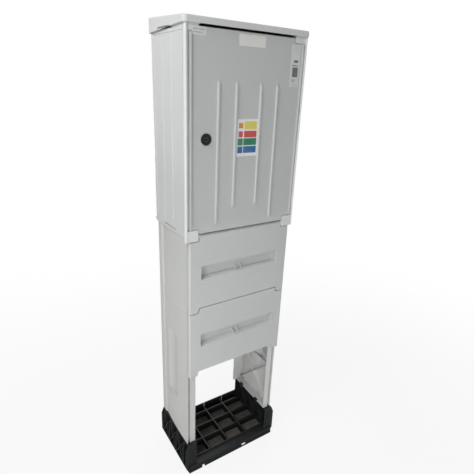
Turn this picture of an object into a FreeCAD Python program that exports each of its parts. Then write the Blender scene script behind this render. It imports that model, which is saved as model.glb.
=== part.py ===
import FreeCAD, Part
import math
import os

from FreeCAD import Vector

# Outdoor electric meter box on a two-leg cable pedestal with a moulded base tray.
# Millimetres, +Z up. The origin is the middle of the base's footprint at ground level.
# The door and the front covers face -Y, and the door hinges on its +X side.

# Overall sizes
cabinet_width = 396.0
cabinet_depth = 222.0
cabinet_height = 572.0
front_setback = 3.0
leg_height = 790.0
base_depth = 250.0
base_height = 128.0
wall = 4.0
fit_gap = 0.3

# Base tray
base_foot_inset = 10.0
base_flare_height = 22.0
base_top_flare = 24.0
side_box_front_inset = 7.0
side_box_rear_inset = 19.0
side_box_width = 43.0
truss_web_inset = 20.0
truss_rib_depth = 9.0
truss_bar = 3.5
truss_brace = 2.6
brace_step = 1.2
truss_hole_radius = 3.0
flute_count = 3
flute_width = 2.5
flute_depth = 1.5
flute_pitch = 9.0
flute_end = 10.0
tray_floor = 3.0
tray_rib_height = 32.0
tray_rib = 5.0
tray_columns = 4
tray_rows = 4
tray_row_share = 0.242
front_ledge_height = 28.0
front_ledge_depth = 34.0
front_step_height = 9.0
front_step = 2.0
rear_rim_height = 42.0
rim_notch_depth = 9.0
rim_notches = ((-134.0, 11.0, 0.0), (44.0, 18.0, 5.0))
rim_slits = (5.0, 94.0)
rim_slit = 3.0
rim_slit_depth = 26.0
hook_spacing = 106.0
hook_width = 12.0
hook_height = 9.0
hook_reach = 5.0

# Legs
leg_inset = 10.0
leg_width = 33.0
leg_front_setback = 17.0
leg_rear_overhang = 6.0
flange_width = 20.5
groove_width = 7.5
groove_depth = 10.0
arch_front_drop = 1.0
arch_rear_drop = 4.0
arch_peak_setback = 97.0
arch_end_inset = 25.0
ridge_step = 3.5
rear_lip_width = 20.0
leg_bays = 4
leg_bar = 3.0
leg_rib_depth = 12.0
leg_plate = 6.0
foot_plate = 4.0
pocket_depth = 9.0
pocket_start = 152.0
pocket_length = 262.0
pocket_setback = 95.0
pocket_width = 74.0
mark_drop = 258.0
mark_front_end = 33.0
mark_rear_end = 3.0
mark_height = 2.0
mark_proud = 0.6

# Front covers
cover_count = 2
cover_inset = 2.0
cover_start = 302.0
cover_gap = 2.5
cover_skin = 3.5
cover_return = 14.5
cover_corner_radius = 5.0
cover_step_height = 17.0
cover_step_gap = 3.0
cover_step_slant = 4.0
cover_tongue = 4.0
cover_web = 3.0
cover_end = 12.0
scoop_inset = 10.0
scoop_start = 114.0
scoop_height = 46.0
scoop_depth = 24.0
scoop_slant = 10.0
scoop_back_slant = 14.0
gusset_spacing = 20.0
gusset_width = 2.4
gusset_height = 22.0

# Rear panels of the pedestal
rear_panel = 4.0
rear_panel_rib = 3.6
panel_end = 12.0
panel_screw_end = 20.0

# Cabinet floor
floor_foot_inset = 8.0
floor_flare_height = 14.0
floor_rim_height = 20.0
cable_opening_side = 25.0
cable_opening_end = 46.0
collar_height = 10.0
leg_bolt_radius = 4.0
leg_bolt_span = 120.0
leg_bolt_inset = 8.5
leg_bolt_end = 10.0
bolt_head_size = 7.5
bolt_head_height = 5.3
nut_height = 6.5

# Side walls
side_groove_setbacks = (82.0, 141.0, 198.0)
side_groove = 4.0
side_groove_depth = 1.4
side_panel_foot = 39.0
side_panel_head = 16.0
side_corner_gap = 1.5
side_return = 18.0
low_slot_setback = 66.0
low_slot_length = 85.0
low_slot_height = 3.5
high_slot_setback = 78.0
high_slot_length = 78.0
high_slot_height = 3.5
high_slot_margin = 2.5

# Door frame
bead_width = 8.0
hinge_bead_width = 5.0
hinge_wall = 1.4
bead_depth = 11.0
bead_radius = 3.5
bead_proud = 0.5
strip_width = 5.0
strip_setback = 6.0
landing_width = 24.0
landing = 3.0
block_width = 33.5
low_block_height = 35.5
high_block_height = 16.5
low_rail_height = 17.0
block_lap = 1.5

# Door
door_thickness = 20.0
door_foot_gap = 23.0
door_head_gap = 4.0
door_latch_inset = 14.0
latch_gap = 1.0
door_hinge_inset = 7.5
notch_clearance = 2.0
notch_gap = 1.0
door_rim = 6.0
hinge_rim = 5.0
hinge_round = 6.0
latch_round = 2.0
foot_rim = 2.5
field_depth = 5.0
field_ramp = 25.0
door_skin = 4.0
door_wall = 3.5
door_rib_shares = (0.2363, 0.3899, 0.6088, 0.7637)
door_rib_feet = (20.0, 65.0, 64.0, 9.0)
door_rib_head = 122.0
door_rib_width = 9.0
door_rib_crown = 5.0
door_rib_height = 4.5
door_rib_taper = 12.0
seal_width = 7.0
seal_rib = 4.0
hinge_pin_radius = 2.0
hinge_set = 9.0
hinge_pin_hold = 24.0
hinge_pin_reach = 22.0
pivot_washer_radius = 7.0

# Lock
lock_inset = 51.0
lock_share = 0.4954
lock_chamfer = 1.2
lock_face_radius = 16.0
lock_face = 4.0
lock_sleeve_radius = 10.0
lock_barrel_radius = 6.0
lock_nut_size = 15.0
lock_nut_height = 5.0
key_size = 6.5
key_depth = 8.0
barrel_setback = 0.6
barrel_square = 7.0
cam_radius = 15.0
cam_thickness = 3.0
crank_radius = 10.6
crank_pin_radius = 2.5
rod_width = 16.0
rod_thickness = 3.0
rod_offset = 9.0
rod_tip_gap = 4.0
rod_tip_step = 5.0
rod_end = 7.0
rod_gap = 0.5
slot_clearance = 0.6
guide_shares = (0.46, 0.88)
guide_size = 16.0
guide_wall = 3.0
guide_gap = 0.4

# Roof
roof_overhang = 6.0
roof_front_overhang = 3.0
roof_rear_overhang = 3.5
roof_lip = 2.0
roof_face = 16.0
roof_rise = 12.0
roof_skirt_drop = 12.0
roof_shell = 3.0
roof_corner_radius = 12.0
roof_edge_radius = 4.0
roof_flange = 3.0
roof_flange_width = 9.0
roof_boss_radius = 7.0
roof_boss_inset = 16.0
roof_boss_front_end = 47.0
roof_boss_rear_end = 25.0
roof_screw_length = 15.0
bracket_width = 22.0
bracket_drop = 32.0

# Meter plate, cable rail and small fasteners
rear_wall_inset = 4.0
rear_rib_count = 5
rear_rib_width = 6.0
rear_rib_inset = 0.5
rear_rib_end = 30.0
plate_side_gap = 48.0
plate_head_gap = 60.0
plate_thickness = 5.0
plate_standoff = 27.0
plate_lift = 72.0
plate_margin = 15.0
plate_boss_radius = 8.0
plate_corner_radius = 8.0
plate_slot_rows = 3
plate_slot_columns = 5
plate_slot_width = 6.0
plate_slot_height = 34.0
plate_screw_hold = 16.0
rail_height = 40.0
rail_depth = 20.0
rail_sheet = 2.0
rail_drop = 208.0
rail_end_gap = 1.0
screw_radius = 2.2
screw_head_radius = 4.4
screw_head = 2.6

# Labels
label_thickness = 0.6
label_gap = 0.5
label_height = 105.0
label_share = 0.4
name_plate_width = 86.0
name_plate_height = 29.0
name_plate_drop = 34.0
name_plate_x = 7.5
sticker_thickness = 0.3
corner_sticker_width = 40.0
corner_sticker_height = 20.0
corner_sticker_inset = 2.0
strip_label_width = 34.0
strip_label_height = 115.0
strip_label_drop = 131.0
strip_label_inset = 7.5

# Levels and faces that several pieces share
half = cabinet_width / 2
front_y = -base_depth / 2 + front_setback
rear_y = front_y + cabinet_depth
tray_row_pitch = tray_row_share * base_depth
cabinet_bottom = base_height + leg_height
roof_seat = cabinet_bottom + cabinet_height
rim_top = cabinet_bottom + floor_rim_height
leg_front = front_y + leg_front_setback
leg_rear = rear_y + leg_rear_overhang
leg_half_width = half - leg_inset
leg_inner = leg_half_width - leg_width
arch_peak_y = front_y + arch_peak_setback
arch_end_y = rear_y - arch_end_inset
pocket_bottom = base_height + pocket_start
pocket_middle = front_y + pocket_setback + pocket_width / 2
mark_z = cabinet_bottom - mark_drop
cover_half_width = leg_half_width - cover_inset
scoop_half_width = leg_inner - scoop_inset
cover_bottom = base_height + cover_start
cover_pitch = (leg_height - cover_start) / cover_count
cover_height = cover_pitch - cover_gap
door_bottom = cabinet_bottom + door_foot_gap
door_top = roof_seat - door_head_gap
door_left = -half + door_latch_inset
door_right = half - door_hinge_inset
door_rear = front_y + door_thickness
hinge_x = door_right - hinge_set
hinge_y = front_y + hinge_set
block_inner = half - bead_width - block_width
notch_half = block_inner - notch_clearance
notch_bottom = cabinet_bottom + low_block_height + notch_gap
notch_top = roof_seat - high_block_height - notch_gap
landing_front = door_rear + seal_width / 2 + fit_gap
landing_rear = landing_front + landing
landing_half = half - bead_width - strip_width - landing_width - notch_gap / 2
landing_bottom = door_bottom + landing_width
landing_top = door_top - landing_width
field_y = front_y + field_depth
skin_rear = field_y + door_skin
door_rib_positions = [door_left + share * (door_right - door_left) for share in door_rib_shares]
lock_x = door_left + lock_inset
lock_z = door_bottom + lock_share * (door_top - door_bottom)
rear_wall_rear = rear_y - rear_wall_inset
rear_wall_front = rear_wall_rear - wall
panel_seat = leg_rear - rear_panel
rail_rear = panel_seat - wall
plate_width = cabinet_width - 2 * plate_side_gap
plate_height = cabinet_height - plate_lift - plate_head_gap
plate_bottom = cabinet_bottom + plate_lift
plate_rear = rear_wall_front - plate_standoff
plate_front = plate_rear - plate_thickness
wall_inner = half - wall
rail_z = cabinet_bottom - rail_drop
low_slot_front = front_y + low_slot_setback
high_slot_front = front_y + high_slot_setback


def box(x0, x1, y0, y1, z0, z1):
    return Part.makeBox(x1 - x0, y1 - y0, z1 - z0, Vector(x0, y0, z0))


def face_of(corners):
    return Part.Face(Part.makePolygon(corners + corners[:1]))


def prism_x(points, x0, x1):
    return face_of([Vector(x0, y, z) for y, z in points]).extrude(Vector(x1 - x0, 0, 0))


def prism_y(points, y0, y1):
    return face_of([Vector(x, y0, z) for x, z in points]).extrude(Vector(0, y1 - y0, 0))


def prism_z(points, z0, z1):
    return face_of([Vector(x, y, z0) for x, y in points]).extrude(Vector(0, 0, z1 - z0))


def disc_y(x, z, radius, y0, y1):
    return Part.makeCylinder(radius, y1 - y0, Vector(x, y0, z), Vector(0, 1, 0))


def disc_z(x, y, radius, z0, z1):
    return Part.makeCylinder(radius, z1 - z0, Vector(x, y, z0), Vector(0, 0, 1))


def hexagon(centre, size, thickness, axis):
    corners = [Vector(size * math.cos(math.radians(60 * i)), size * math.sin(math.radians(60 * i)), 0)
               for i in range(6)]
    solid = face_of(corners).extrude(Vector(0, 0, thickness))
    solid.Placement = FreeCAD.Placement(centre, FreeCAD.Rotation(Vector(0, 0, 1), axis))
    return solid


def join(shapes):
    return shapes[0].fuse(shapes[1:]).removeSplitter()


def mirrored(shape):
    return shape.mirror(Vector(0, 0, 0), Vector(1, 0, 0))


def both_sides(shape):
    return [shape, mirrored(shape)]


def frame_ring(half_width, z0, z1, band, y0, y1):
    outer = box(-half_width, half_width, y0, y1, z0, z1)
    return outer.cut(box(-half_width + band, half_width - band, y0, y1, z0 + band, z1 - band))


def slanted_bar(x0, x1, start, end, thickness):
    # A flat bar in the YZ plane from one point to the other
    run = math.hypot(end[0] - start[0], end[1] - start[1])
    off_y = -(end[1] - start[1]) / run * thickness / 2
    off_z = (end[0] - start[0]) / run * thickness / 2
    corners = [(start[0] + off_y, start[1] + off_z), (end[0] + off_y, end[1] + off_z),
               (end[0] - off_y, end[1] - off_z), (start[0] - off_y, start[1] - off_z)]
    return prism_x(corners, x0, x1)


def save(name, shape):
    shape.exportStep("parts/" + name + ".step")


# Base tray: ribbed floor, low rims and a tall truss box with clip hooks under each leg

def side_box_section():
    foot = half - base_foot_inset
    inner = half - side_box_width
    return [(inner, 0), (foot, 0), (half, base_flare_height), (half, base_height - base_top_flare),
            (foot, base_height), (inner, base_height)]


def side_truss():
    y0 = -base_depth / 2 + side_box_front_inset
    y1 = base_depth / 2 - side_box_rear_inset
    web = half - truss_web_inset - wall
    inner = web - truss_rib_depth
    bars = [box(web, web + wall, y0, y1, 0, base_height),
            box(half - side_box_width, half, y0, y1, base_height - wall, base_height),
            box(inner, half, y0, y1, base_flare_height, base_flare_height + truss_bar)]
    bars += [box(0, half, y, y + wall, 0, base_height) for y in (y0, y1 - wall)]
    lines = [tray_row_pitch * (i - (tray_rows - 1) / 2) for i in range(tray_rows)]
    for y in lines:
        bars.append(box(inner, half, y - truss_bar / 2, y + truss_bar / 2, 0, base_height))
    low, high = base_flare_height + truss_bar / 2, base_height - wall / 2
    for a, b in zip(lines[:-1], lines[1:]):
        bars.append(slanted_bar(inner, half, (a, low), (b, high), truss_brace))
        bars.append(slanted_bar(inner + brace_step, half, (a, high), (b, low), truss_brace))
    envelope = prism_y(side_box_section(), y0, y1)
    truss = join(bars).common(envelope)
    end_bays = ((y0 + wall + lines[0]) / 2, (y1 - wall + lines[-1]) / 2)
    end_holes = [Part.makeCylinder(truss_hole_radius, half, Vector(0, y, base_height / 2), Vector(1, 0, 0))
                 for y in end_bays]
    return truss.cut(end_holes + flutes(y0, y1))


def flutes(y0, y1):
    # Upright grooves in the front and rear faces of a side box
    middle = (half - side_box_width + half - base_foot_inset) / 2
    cuts = []
    for i in range(flute_count):
        x = middle + (i - (flute_count - 1) / 2) * flute_pitch
        for face, depth in ((y0, flute_depth), (y1, -flute_depth)):
            low, high = sorted((face, face + depth))
            cuts.append(box(x - flute_width / 2, x + flute_width / 2, low, high,
                            front_ledge_height + flute_end, base_height - flute_end))
    return cuts


def clip_hook(y):
    stem = half - side_box_width - hook_reach
    top = base_height + foot_plate + fit_gap
    y0, y1 = y - hook_width / 2, y + hook_width / 2
    root = half - side_box_width + wall
    outline = [(stem, base_height - hook_width), (root, base_height - hook_width),
               (root, base_height), (leg_inner - fit_gap, base_height),
               (leg_inner - fit_gap, top), (leg_inner + hook_reach, top),
               (leg_inner - fit_gap, top + hook_height), (stem, top + hook_height)]
    return prism_y(outline, y0, y1)


def base_tray():
    front, rear = -base_depth / 2, base_depth / 2
    foot = half - base_foot_inset
    ledge = front + front_ledge_depth
    inner = half - truss_web_inset
    pieces = [box(-foot, foot, ledge, rear, 0, tray_floor),
              box(-foot, foot, front, ledge, front_ledge_height - tray_floor, front_ledge_height),
              box(-foot, foot, front, front + wall, 0, front_ledge_height),
              box(-foot, foot, rear - wall, rear, 0, rear_rim_height)]
    column_pitch = 2 * (inner - truss_rib_depth - wall) / tray_columns
    for i in range(1, tray_columns):
        x = column_pitch * (i - tray_columns / 2)
        pieces.append(box(x - tray_rib / 2, x + tray_rib / 2, ledge, rear - wall, 0, tray_rib_height))
        pieces.append(box(x - wall / 2, x + wall / 2, front, ledge, 0, front_ledge_height))
    for i in range(tray_rows):
        y = tray_row_pitch * (i - (tray_rows - 1) / 2)
        pieces.append(box(-inner, inner, y - tray_rib / 2, y + tray_rib / 2, 0, tray_rib_height))
    for side in both_sides(box(inner - wall, inner, front, rear, 0, front_ledge_height)):
        pieces.append(side)
    pieces += both_sides(side_truss())
    for y in (-hook_spacing / 2, hook_spacing / 2):
        pieces += both_sides(clip_hook(y))
    tray = join(pieces)
    notches = [box(x, x + width, front, front + wall, z, z + rim_notch_depth) for x, width, z in rim_notches]
    slit_bottom = rear_rim_height - rim_slit_depth
    slits = [box(x, x + rim_slit, rear - wall, rear, slit_bottom, rear_rim_height) for x in rim_slits]
    step = box(-foot, foot, front, front + front_step, front_step_height, front_ledge_height)
    return tray.cut(notches + slits + [step])


# Legs: moulded channels with an arched outer wall, ribbed inside and open towards each other

def leg_outer_x(drop):
    return leg_half_width - drop


def leg_edge(points):
    vectors = [Vector(x, y, 0) for x, y in points]
    if len(vectors) == 3:
        return Part.Arc(*vectors).toShape()
    return Part.LineSegment(*vectors).toShape()


def leg_face(rows):
    return Part.Face(Part.Wire([leg_edge(row) for row in rows]))


def chain(points):
    return [(a, b) for a, b in zip(points[:-1], points[1:])]


def arch(inset):
    # Outer wall's curve, seen from above, moved in by the given amount
    return ((leg_outer_x(arch_front_drop) - inset, leg_front),
            (leg_outer_x(0) - inset, arch_peak_y),
            (leg_outer_x(arch_rear_drop) - inset, arch_end_y))


def leg_section():
    flange = leg_inner + flange_width
    groove = flange + groove_width
    groove_y = leg_front + groove_depth
    ridge = leg_outer_x(arch_rear_drop) + ridge_step
    lip = leg_inner + rear_lip_width / 4
    outer = arch(0)
    inner = arch(wall)
    inner_start = (groove, groove_y + wall)
    rows = chain([(leg_inner, leg_front), (flange, leg_front), (flange, groove_y), (groove, groove_y),
                  (groove, leg_front), outer[0]])
    rows.append(outer)
    rows += chain([outer[2], (ridge, arch_end_y + 2 * ridge_step), (ridge, leg_rear), (lip, leg_rear),
                   (lip, panel_seat), (lip - rear_lip_width, panel_seat),
                   (lip - rear_lip_width, panel_seat - wall), (ridge - wall, panel_seat - wall),
                   (ridge - wall, arch_end_y + 2 * ridge_step + 1), inner[2]])
    rows.append((inner[2], inner[1], inner_start))
    rows += chain([inner_start, (flange - wall, groove_y + wall), (flange - wall, leg_front + wall),
                   (leg_inner, leg_front + wall), (leg_inner, leg_front)])
    return leg_face(rows)


def leg_core(z0, z1):
    # The space inside the channel, reaching half way into its walls
    middle = arch(wall / 2)
    flange = leg_inner + flange_width - wall / 2
    groove_y = leg_front + groove_depth + wall / 2
    ridge = leg_outer_x(arch_rear_drop) + ridge_step - wall / 2
    start = (leg_inner + flange_width + groove_width, groove_y)
    rows = chain([(leg_inner, leg_front + wall / 2), (flange, leg_front + wall / 2),
                  (flange, groove_y), start])
    rows.append((start, middle[1], middle[2]))
    rows += chain([middle[2], (ridge, arch_end_y + 2 * ridge_step), (ridge, panel_seat - wall / 2),
                   (leg_inner, panel_seat - wall / 2), (leg_inner, leg_front + wall / 2)])
    core = leg_face(rows).extrude(Vector(0, 0, z1 - z0))
    core.translate(Vector(0, 0, z0))
    return core


def leg_lattice():
    z0, z1 = base_height + foot_plate, cabinet_bottom - leg_plate
    x0 = leg_half_width - wall - leg_rib_depth
    y0, y1 = leg_front + groove_depth, panel_seat - wall
    bay = (z1 - z0) / leg_bays
    bars = []
    for i in range(leg_bays):
        low, high = z0 + bay * i, z0 + bay * (i + 1)
        bars.append(slanted_bar(x0, leg_half_width, (y0, low), (y1, high), leg_bar))
        bars.append(slanted_bar(x0, leg_half_width, (y0, high), (y1, low), leg_bar))
        if i:
            bars.append(box(x0, leg_half_width, y0, y1, low - leg_bar / 2, low + leg_bar / 2))
    return join(bars).common(leg_core(base_height, cabinet_bottom))


def pocket(margin):
    # Outer side's hollow: part of an upright cylinder, with a flat ledge at its foot
    radius = (pocket_width ** 2 / 4 + pocket_depth ** 2) / (2 * pocket_depth)
    return disc_z(leg_half_width - pocket_depth + radius, pocket_middle, radius + margin,
                  pocket_bottom - margin, pocket_bottom + pocket_length + margin)


def side_mark():
    # Low ridge across the outer side, along its arch
    outer = arch(-mark_proud)
    inner = arch(wall / 2)
    rows = [outer, (outer[2], inner[2]), (inner[2], inner[1], inner[0]), (inner[0], outer[0])]
    ridge = leg_face(rows).extrude(Vector(0, 0, mark_height))
    ridge.translate(Vector(0, 0, mark_z))
    return ridge.common(box(0, half, leg_front + mark_front_end, arch_end_y - mark_rear_end,
                            mark_z, mark_z + mark_height))


def panel_screw_places():
    x = leg_inner - rear_lip_width / 4
    places = []
    for i in range(cover_count):
        z0 = cover_bottom + cover_pitch * i
        for z in (z0 + panel_screw_end, z0 + cover_height - panel_screw_end):
            places.append((x, z))
    return places


def right_leg():
    channel = leg_section().extrude(Vector(0, 0, leg_height))
    channel.translate(Vector(0, 0, base_height))
    bottom = leg_core(base_height, base_height + foot_plate)
    top = leg_core(cabinet_bottom - leg_plate, cabinet_bottom)
    pan = pocket(wall).common(leg_core(base_height, cabinet_bottom))
    leg = join([channel, bottom, top, leg_lattice(), pan, side_mark()])
    holes = [disc_z(leg_bolt_x(), y, leg_bolt_radius + fit_gap, cabinet_bottom - leg_plate, cabinet_bottom)
             for y in (-leg_bolt_span / 2, leg_bolt_span / 2)]
    holes += [disc_y(x, z, screw_radius + fit_gap / 2, panel_seat - wall, panel_seat)
              for x, z in panel_screw_places() + [(rail_screw_x(), rail_z)]]
    return leg.cut([pocket(0)] + holes)


def leg_bolt_x():
    return leg_inner + leg_bolt_inset


def rail_screw_x():
    return leg_inner - rear_lip_width / 4


# Front covers: shallow trays with a stepped edge and a wide finger scoop

def cover_section():
    y0 = front_y
    y1 = front_y + cover_return
    w = cover_half_width
    r = cover_corner_radius
    s = cover_skin
    k = r * (1 - math.sqrt(0.5))
    q = (r - s) * (1 - math.sqrt(0.5))
    rows = [((-w, y0 + r), (-w + k, y0 + k), (-w + r, y0))]
    rows += chain([(-w + r, y0), (w - r, y0)])
    rows.append(((w - r, y0), (w - k, y0 + k), (w, y0 + r)))
    rows += chain([(w, y0 + r), (w, y1), (w - s, y1), (w - s, y0 + r)])
    rows.append(((w - s, y0 + r), (w - s - q, y0 + s + q), (w - r, y0 + s)))
    rows += chain([(w - r, y0 + s), (-w + r, y0 + s)])
    rows.append(((-w + r, y0 + s), (-w + s + q, y0 + s + q), (-w + s, y0 + r)))
    rows += chain([(-w + s, y0 + r), (-w + s, y1), (-w, y1), (-w, y0 + r)])
    return leg_face(rows)


def cover_outline(z):
    w = cover_half_width
    top = z + cover_height
    up = cover_step_height
    foot = block_inner
    slanted = foot - cover_step_slant
    tab = block_inner - cover_step_gap
    tab_top = tab - cover_step_slant
    left = [(-w, top), (-w, z), (-foot, z), (-slanted, z + up)]
    right = [(slanted, z + up), (foot, z), (w, z), (w, top)]
    head = [(tab, top), (tab_top, top + up), (-tab_top, top + up), (-tab, top)]
    return left + right + head


def scoop(z, margin):
    y0 = front_y
    y1 = front_y + scoop_depth + margin
    low = z + scoop_start - margin
    high = z + scoop_start + scoop_height + margin
    outline = [(y0, low), (y1, low), (y1, high - scoop_slant), (y1 - scoop_back_slant, high), (y0, high)]
    w = scoop_half_width + margin
    return prism_x(outline, -w, w)


def front_cover(index):
    z = cover_bottom + cover_pitch * index
    body = cover_section().extrude(Vector(0, 0, cover_height + cover_step_height))
    body.translate(Vector(0, 0, z))
    body = body.common(prism_y(cover_outline(z), front_y - 1, front_y + cover_return + 1))
    groove_middle = leg_inner + flange_width + groove_width / 2
    tongue = box(groove_middle - cover_tongue / 2, groove_middle + cover_tongue / 2,
                 front_y + cover_skin / 2, leg_front + groove_depth - fit_gap,
                 z + cover_end, z + cover_height - cover_end)
    web = box(groove_middle, cover_half_width - cover_skin / 2, front_y + cover_return - cover_web,
              front_y + cover_return, z + cover_end, z + cover_height - cover_end)
    pieces = [body, scoop(z, cover_skin)] + both_sides(tongue) + both_sides(web)
    cover = join(pieces).cut(scoop(z, 0))
    floor = z + scoop_start
    back = front_y + scoop_depth
    gussets = []
    for x in (-gusset_spacing / 2, gusset_spacing / 2):
        gussets.append(prism_x([(back + 1, floor - 1), (back + 1, floor + gusset_height),
                                (front_y + cover_skin, floor - 1)],
                               x - gusset_width / 2, x + gusset_width / 2))
    return join([cover] + gussets)


# Rear panels of the pedestal, flush between the legs

def panel_half_width():
    return leg_inner + rear_lip_width / 4 - fit_gap


def rear_board(index):
    z = cover_bottom + cover_pitch * index
    w = panel_half_width()
    board = box(-w, w, panel_seat, leg_rear, z, z + cover_height)
    rib_half = leg_inner - rear_lip_width
    ribs = [box(-rib_half, rib_half, panel_seat - rear_panel_rib, panel_seat, zr, zr + leg_bar)
            for zr in (z + panel_end, z + cover_height / 2, z + cover_height - panel_end - leg_bar)]
    ribs += both_sides(box(rib_half - leg_bar, rib_half, panel_seat - rear_panel_rib, panel_seat,
                           z + panel_end, z + cover_height - panel_end))
    holes = []
    for x, zs in panel_screw_places():
        for hole in both_sides(disc_y(x, zs, screw_radius + fit_gap / 2, panel_seat, leg_rear)):
            holes.append(hole)
    return join([board] + ribs).cut(holes)


def hex_screw(x, z, y_head, length):
    # Screw along Y with its head towards -Y for a positive length
    end = y_head + length
    shank = disc_y(x, z, screw_radius, min(y_head, end), max(y_head, end))
    outward = Vector(0, -math.copysign(1, length), 0)
    head = hexagon(Vector(x, y_head, z), screw_head_radius, screw_head, outward)
    return join([shank, head])


def rear_panel_screws():
    length = rear_panel + wall - fit_gap
    screws = []
    for x, z in panel_screw_places():
        for sx in (-x, x):
            screws.append(hex_screw(sx, z, leg_rear, -length))
    return Part.makeCompound(screws)


# Cabinet floor with its flared foot, cable opening and collar

def floor_outline(inset, z_low):
    foot = half - floor_foot_inset - inset
    knee = cabinet_bottom + floor_flare_height
    w = half - inset
    return [(-foot, z_low), (foot, z_low), (w, knee), (w, rim_top), (-w, rim_top), (-w, knee)]


def floor_frame():
    front = landing_rear + fit_gap
    body = prism_y(floor_outline(0, cabinet_bottom), front, rear_y)
    hollow = prism_y(floor_outline(wall, cabinet_bottom + wall), front + wall, rear_y - wall)
    arm_inner = half - bead_width + fit_gap
    arm = prism_y(floor_outline(0, cabinet_bottom), front_y + bead_depth + side_corner_gap, front)
    arm = arm.common(box(arm_inner, half, front_y, front, cabinet_bottom, rim_top))
    hw = leg_inner - cable_opening_side
    hd = cabinet_depth / 2 - cable_opening_end
    floor_level = cabinet_bottom + wall
    collar = box(-hw - leg_bar, hw + leg_bar, -hd - leg_bar, hd + leg_bar, cabinet_bottom,
                 floor_level + collar_height)
    frame = join([body.cut(hollow), collar] + both_sides(arm))
    cuts = [box(-hw, hw, -hd, hd, cabinet_bottom, floor_level + collar_height)]
    for y in (-leg_bolt_span / 2, leg_bolt_span / 2):
        hole = disc_z(leg_bolt_x(), y, leg_bolt_radius + fit_gap, cabinet_bottom, floor_level)
        cuts += both_sides(hole)
    return frame.cut(cuts)


def leg_bolts():
    bolts = []
    top = cabinet_bottom + wall
    for y in (-leg_bolt_span / 2, leg_bolt_span / 2):
        shank = disc_z(leg_bolt_x(), y, leg_bolt_radius, cabinet_bottom - leg_plate - leg_bolt_end, top)
        head = hexagon(Vector(leg_bolt_x(), y, top), bolt_head_size, bolt_head_height, Vector(0, 0, 1))
        bolts += both_sides(join([shank, head]))
    return Part.makeCompound(bolts)


def leg_nuts():
    nuts = []
    seat = cabinet_bottom - leg_plate
    for y in (-leg_bolt_span / 2, leg_bolt_span / 2):
        nut = hexagon(Vector(leg_bolt_x(), y, seat - nut_height), bolt_head_size, nut_height, Vector(0, 0, 1))
        bore = disc_z(leg_bolt_x(), y, leg_bolt_radius + fit_gap / 2, seat - nut_height, seat)
        nuts += both_sides(nut.cut(bore))
    return Part.makeCompound(nuts)


# Side walls: grooved sheets with a vent slot at top and bottom and a return at the rear

def right_side_wall():
    y0 = front_y + bead_depth + side_corner_gap
    sheet = box(wall_inner, half, y0, rear_y, rim_top, roof_seat)
    back = box(half - side_return, half, rear_y - wall, rear_y, rim_top, roof_seat)
    panel = join([sheet, back])
    corner = [edge for edge in panel.Edges
              if abs(edge.BoundBox.XMin - half) < 0.01 and abs(edge.BoundBox.YMin - rear_y) < 0.01
              and edge.BoundBox.ZLength > cabinet_height / 2]
    panel = panel.makeFillet(roof_corner_radius - roof_shell, corner)
    inner_corner = [edge for edge in panel.Edges
                    if abs(edge.BoundBox.XMin - wall_inner) < 0.01
                    and abs(edge.BoundBox.YMin - rear_wall_rear) < 0.01
                    and edge.BoundBox.ZLength > cabinet_height / 2]
    panel = panel.makeFillet(roof_corner_radius - roof_shell - wall, inner_corner)
    foot = cabinet_bottom + side_panel_foot
    head = roof_seat - side_panel_head
    cuts = []
    for setback in side_groove_setbacks:
        y = front_y + setback
        profile = [(half, y - side_groove / 2), (half - side_groove_depth, y), (half, y + side_groove / 2)]
        cuts.append(prism_z(profile, foot, head))
    line = [(half, head - side_groove / 2), (half - side_groove_depth, head), (half, head + side_groove / 2)]
    cuts.append(prism_y(line, y0 - 1, rear_y + 1))
    cuts.append(box(wall_inner - 1, half + 1, low_slot_front, low_slot_front + low_slot_length,
                    rim_top, rim_top + low_slot_height))
    cuts.append(box(wall_inner - 1, half + 1, high_slot_front - high_slot_margin,
                    high_slot_front + high_slot_length + high_slot_margin,
                    roof_seat - high_slot_height - high_slot_margin, roof_seat))
    return panel.cut(cuts)


def rear_wall():
    w = half - floor_foot_inset - wall - fit_gap
    low = cabinet_bottom + wall
    panel = box(-w, w, rear_wall_front, rear_wall_rear, low, roof_seat)
    pieces = [panel]
    for i in range(rear_rib_count):
        x = (i - (rear_rib_count - 1) / 2) * 2 * w / rear_rib_count
        pieces.append(box(x - rear_rib_width / 2, x + rear_rib_width / 2, rear_wall_rear,
                          rear_y - rear_rib_inset, rim_top + rear_rib_end, roof_seat - rear_rib_end))
    bores = []
    for x, z in plate_screw_places():
        pieces.append(disc_y(x, z, plate_boss_radius, plate_rear, rear_wall_front))
        bores.append(disc_y(x, z, screw_radius + fit_gap / 2, plate_rear, rear_wall_front - wall))
    return join(pieces).cut(bores)


# Door frame: one moulding with beads, corner blocks and the landing for the seal

def bead(x0, x1):
    y0 = front_y - bead_proud
    shape = box(x0, x1, y0, front_y + bead_depth, cabinet_bottom, roof_seat)
    corners = [edge for edge in shape.Edges
               if edge.BoundBox.ZLength > 1 and abs(edge.BoundBox.YMin - y0) < 0.01]
    shape = shape.makeFillet(min(bead_radius, (x1 - x0) * 0.49), corners)
    foot = [(x0, cabinet_bottom), (x1, cabinet_bottom), (x1, roof_seat), (x0, roof_seat)]
    return shape.common(prism_y(foot, y0, front_y + bead_depth))


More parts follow.
